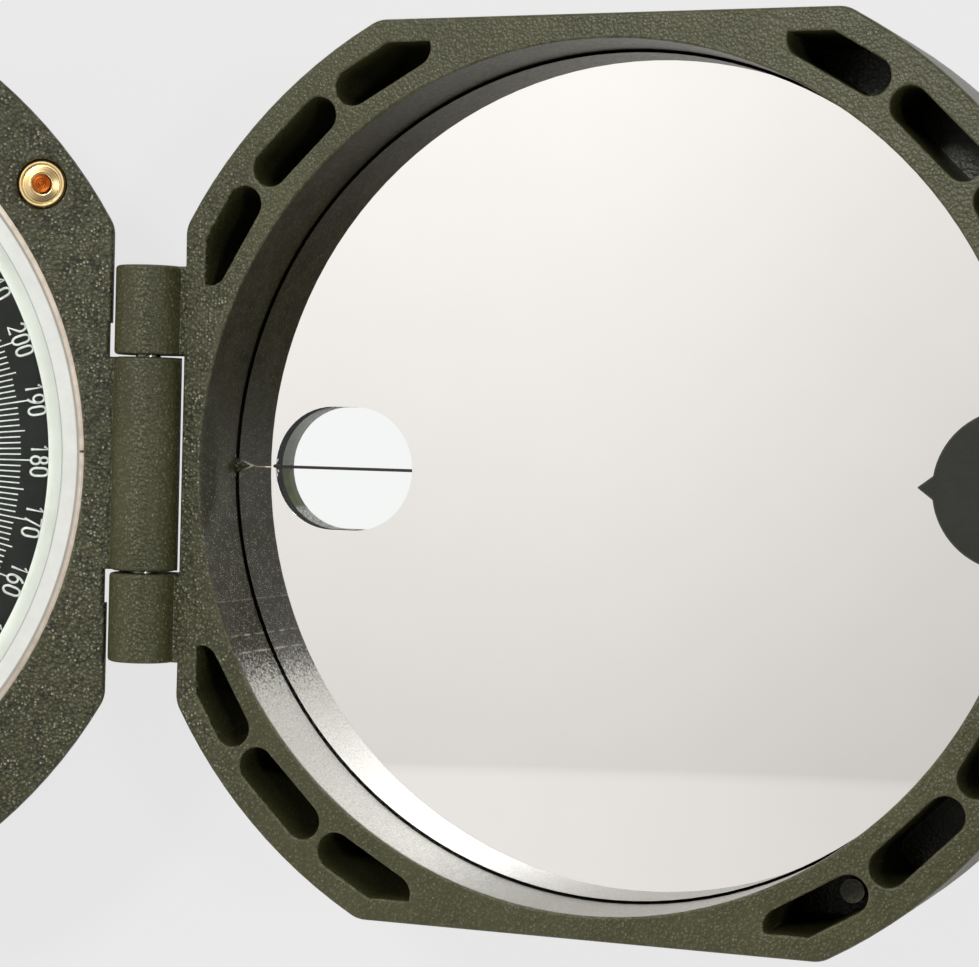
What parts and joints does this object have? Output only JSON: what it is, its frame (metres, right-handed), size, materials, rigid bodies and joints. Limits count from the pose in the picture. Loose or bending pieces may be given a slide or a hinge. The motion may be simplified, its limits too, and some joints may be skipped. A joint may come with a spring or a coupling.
{
  "type": "mirror sighting compass",
  "caption": "Pocket mirror-sighting compass: square case with rounded corners, graduated ring, clinometer and levels under glass, hinged mirror lid with a window, and folding sights.",
  "frame": {"origin": "centre of the case's back face, at the mouth of its round recess", "axes": "+X from the centre to the lid hinge, +Y along the hinge pin, +Z out of the dial; the lid stands open at 21 degrees above the dial plane and the long sight is folded out along -X"},
  "size_m": [0.2083, 0.0698, 0.046],
  "materials": {
    "case_paint": "pebbled olive enamel on a casting",
    "dark_paint": "satin dark enamel",
    "steel": "turned",
    "glass": "clear",
    "mirror_silver": "mirror",
    "white_rubber": "smooth",
    "brass": "turned",
    "copper": "turned, copper red",
    "dial": "satin black band, pale rim",
    "scale_plate": "satin",
    "spirit": "tinted liquid",
    "jewel": "polished",
    "pad": "felt",
    "black_line": "matte"
  },
  "bodies": {
    "case": {"case_body": "case_paint", "hinge_pin": "steel", "crystal": "glass", "crystal_gasket": "white_rubber", "snap_ring": "brass", "clinometer_plate": "scale_plate", "plate_screws": "brass", "round_level_cup": "brass", "round_level_glass": "glass", "round_level_spirit": "spirit", "lift_bush": "brass", "lift_bracket": "brass", "lift_bracket_pin": "steel", "lift_spring": "steel", "long_sight_pin": "steel"},
    "azimuth": {"azimuth_ring": "dial"},
    "pinion": {"ring_pinion": "brass"},
    "clinometer": {"clinometer_shaft": "brass", "vernier_arm": "brass", "vernier_plate": "scale_plate", "level_holder": "brass", "level_vial": "glass", "level_spirit": "spirit", "rear_lever": "dark_paint", "lever_washer": "steel", "lever_screw": "steel", "pivot_post": "steel"},
    "jewel": {"needle_jewel": "jewel"},
    "needle": {"needle_cap": "brass", "needle_blade": "steel", "needle_weight": "copper"},
    "lift_pin": {"lift_pin": "copper"},
    "lift_lever": {"lift_lever": "brass"},
    "long_sight": {"long_sight_arm": "case_paint", "tip_sight_pin": "steel"},
    "tip_sight": {"tip_sight": "case_paint"},
    "lid": {"lid_case": "case_paint", "mirror_glass": "glass", "mirror_silver": "mirror_silver", "mirror_pad": "pad", "sight_line": "black_line", "short_sight_pin": "steel"},
    "short_sight": {"short_sight": "dark_paint"}
  },
  "joints": [
    {"name": "lid_hinge", "type": "hinge", "parent": "case", "child": "lid", "pos_m": [0.0377, 0, 0.0201], "axis": [0, -1, 0], "range_deg": [-21, 159]},
    {"name": "short_sight_hinge", "type": "hinge", "parent": "lid", "child": "short_sight", "pos_m": [0.10841, 0, 0.04349], "axis": [0, 1, 0], "range_deg": [0, 180]},
    {"name": "long_sight_hinge", "type": "hinge", "parent": "case", "child": "long_sight", "pos_m": [-0.0373, 0, 0.0182], "axis": [0, 1, 0], "range_deg": [-10, 180]},
    {"name": "tip_sight_hinge", "type": "hinge", "parent": "long_sight", "child": "tip_sight", "pos_m": [-0.0873, 0, 0.0156], "axis": [0, -1, 0], "range_deg": [-90, 0]},
    {"name": "azimuth_turn", "type": "hinge", "parent": "case", "child": "azimuth", "pos_m": [0, 0, 0.0155], "axis": [0, 0, 1], "continuous": true},
    {"name": "pinion_turn", "type": "hinge", "parent": "case", "child": "pinion", "pos_m": [0, -0.0305, 0.0114], "axis": [0, 1, 0], "continuous": true},
    {"name": "clinometer_turn", "type": "hinge", "parent": "case", "child": "clinometer", "pos_m": [0, 0, 0.005], "axis": [0, 0, 1], "range_deg": [-90, 90]},
    {"name": "lift_pin_slide", "type": "slide", "parent": "case", "child": "lift_pin", "axis": [0, 0, -1], "range_m": [0, 0.0005], "stiffness_N_per_m": 150, "springref_m": -0.001, "deforming": ["lift_spring"]},
    {"name": "lift_lever_turn", "type": "hinge", "parent": "case", "child": "lift_lever", "pos_m": [0.01587, 0.01218, 0.012], "axis": [-0.6088, 0.7934, 0], "range_deg": [0, 1.76]},
    {"name": "needle_lift", "type": "slide", "parent": "case", "child": "jewel", "axis": [0, 0, 1], "range_m": [0, 0.00066]},
    {"name": "needle_turn", "type": "hinge", "parent": "jewel", "child": "needle", "pos_m": [0, 0, 0.0146], "axis": [0, 0, 1], "continuous": true}
  ],
  "couplings": [
    {"joint": "pinion_turn", "follows": "azimuth_turn", "ratio": 15},
    {"joint": "lift_lever_turn", "follows": "lift_pin_slide", "rad_per_m": 61.16},
    {"joint": "needle_lift", "follows": "lift_pin_slide", "ratio": 1.3}
  ]
}
